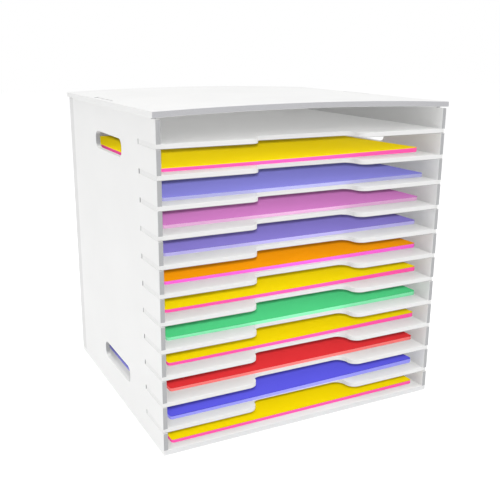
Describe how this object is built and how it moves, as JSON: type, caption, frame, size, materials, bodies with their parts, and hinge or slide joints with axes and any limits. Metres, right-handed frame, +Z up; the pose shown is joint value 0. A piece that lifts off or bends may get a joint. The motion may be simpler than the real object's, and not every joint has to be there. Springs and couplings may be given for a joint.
{
  "type": "paper sorter",
  "caption": "White desktop sorter for square craft paper: a panel cabinet with slide-out trays, finger recesses, hand holes and coloured paper.",
  "frame": {"origin": "on the floor at the middle of the base", "axes": "+Z up, the open front faces -Y, +X to the right seen from the front"},
  "size_m": [0.356, 0.317, 0.361],
  "materials": {
    "white_board": "smooth satin white",
    "paper_yellow": "matte coloured paper",
    "paper_pink": "matte coloured paper",
    "paper_periwinkle": "matte coloured paper",
    "paper_pale_periwinkle": "matte coloured paper",
    "paper_orchid": "matte coloured paper",
    "paper_pale_orchid": "matte coloured paper",
    "paper_violet": "matte coloured paper",
    "paper_lavender": "matte coloured paper",
    "paper_orange": "matte coloured paper",
    "paper_magenta": "matte coloured paper",
    "paper_green": "matte coloured paper",
    "paper_pale_green": "matte coloured paper",
    "paper_red": "matte coloured paper",
    "paper_salmon": "matte coloured paper",
    "paper_blue": "matte coloured paper",
    "paper_pale_blue": "matte coloured paper"
  },
  "bodies": {
    "cabinet": {"base_panel": "white_board", "left_side_panel": "white_board", "right_side_panel": "white_board", "back_panel": "white_board", "top_panel": "white_board", "paper_11": "paper_pink", "top_sheet_11": "paper_yellow"},
    "sliding_tray_01": {"tray_01": "white_board"},
    "sliding_tray_02": {"tray_02": "white_board", "paper_01": "paper_pink", "top_sheet_01": "paper_yellow"},
    "sliding_tray_03": {"tray_03": "white_board", "paper_02": "paper_pale_periwinkle", "top_sheet_02": "paper_periwinkle"},
    "sliding_tray_04": {"tray_04": "white_board", "paper_03": "paper_pale_orchid", "top_sheet_03": "paper_orchid"},
    "sliding_tray_05": {"tray_05": "white_board", "paper_04": "paper_lavender", "top_sheet_04": "paper_violet"},
    "sliding_tray_06": {"tray_06": "white_board", "paper_05": "paper_magenta", "top_sheet_05": "paper_orange"},
    "sliding_tray_07": {"tray_07": "white_board", "paper_06": "paper_pink", "top_sheet_06": "paper_yellow"},
    "sliding_tray_08": {"tray_08": "white_board", "paper_07": "paper_pale_green", "top_sheet_07": "paper_green"},
    "sliding_tray_09": {"tray_09": "white_board", "paper_08": "paper_pink", "top_sheet_08": "paper_yellow"},
    "sliding_tray_10": {"tray_10": "white_board", "paper_09": "paper_salmon", "top_sheet_09": "paper_red"},
    "sliding_tray_11": {"tray_11": "white_board", "paper_10": "paper_pale_blue", "top_sheet_10": "paper_blue"}
  },
  "joints": [
    {"name": "tray_01_slide", "type": "slide", "parent": "cabinet", "child": "sliding_tray_01", "axis": [0, -1, 0], "range_m": [-0.00065, 0.25]},
    {"name": "tray_02_slide", "type": "slide", "parent": "cabinet", "child": "sliding_tray_02", "axis": [0, -1, 0], "range_m": [-0.00195, 0.25]},
    {"name": "tray_03_slide", "type": "slide", "parent": "cabinet", "child": "sliding_tray_03", "axis": [0, -1, 0], "range_m": [-0.00195, 0.25]},
    {"name": "tray_04_slide", "type": "slide", "parent": "cabinet", "child": "sliding_tray_04", "axis": [0, -1, 0], "range_m": [-0.00045, 0.25]},
    {"name": "tray_05_slide", "type": "slide", "parent": "cabinet", "child": "sliding_tray_05", "axis": [0, -1, 0], "range_m": [-0.00105, 0.25]},
    {"name": "tray_06_slide", "type": "slide", "parent": "cabinet", "child": "sliding_tray_06", "axis": [0, -1, 0], "range_m": [-0.00145, 0.25]},
    {"name": "tray_07_slide", "type": "slide", "parent": "cabinet", "child": "sliding_tray_07", "axis": [0, -1, 0], "range_m": [-0.00075, 0.25]},
    {"name": "tray_08_slide", "type": "slide", "parent": "cabinet", "child": "sliding_tray_08", "axis": [0, -1, 0], "range_m": [-0.00175, 0.25]},
    {"name": "tray_09_slide", "type": "slide", "parent": "cabinet", "child": "sliding_tray_09", "axis": [0, -1, 0], "range_m": [-0.00125, 0.25]},
    {"name": "tray_10_slide", "type": "slide", "parent": "cabinet", "child": "sliding_tray_10", "axis": [0, -1, 0], "range_m": [-0.00165, 0.25]},
    {"name": "tray_11_slide", "type": "slide", "parent": "cabinet", "child": "sliding_tray_11", "axis": [0, -1, 0], "range_m": [-0.00085, 0.25]}
  ]
}
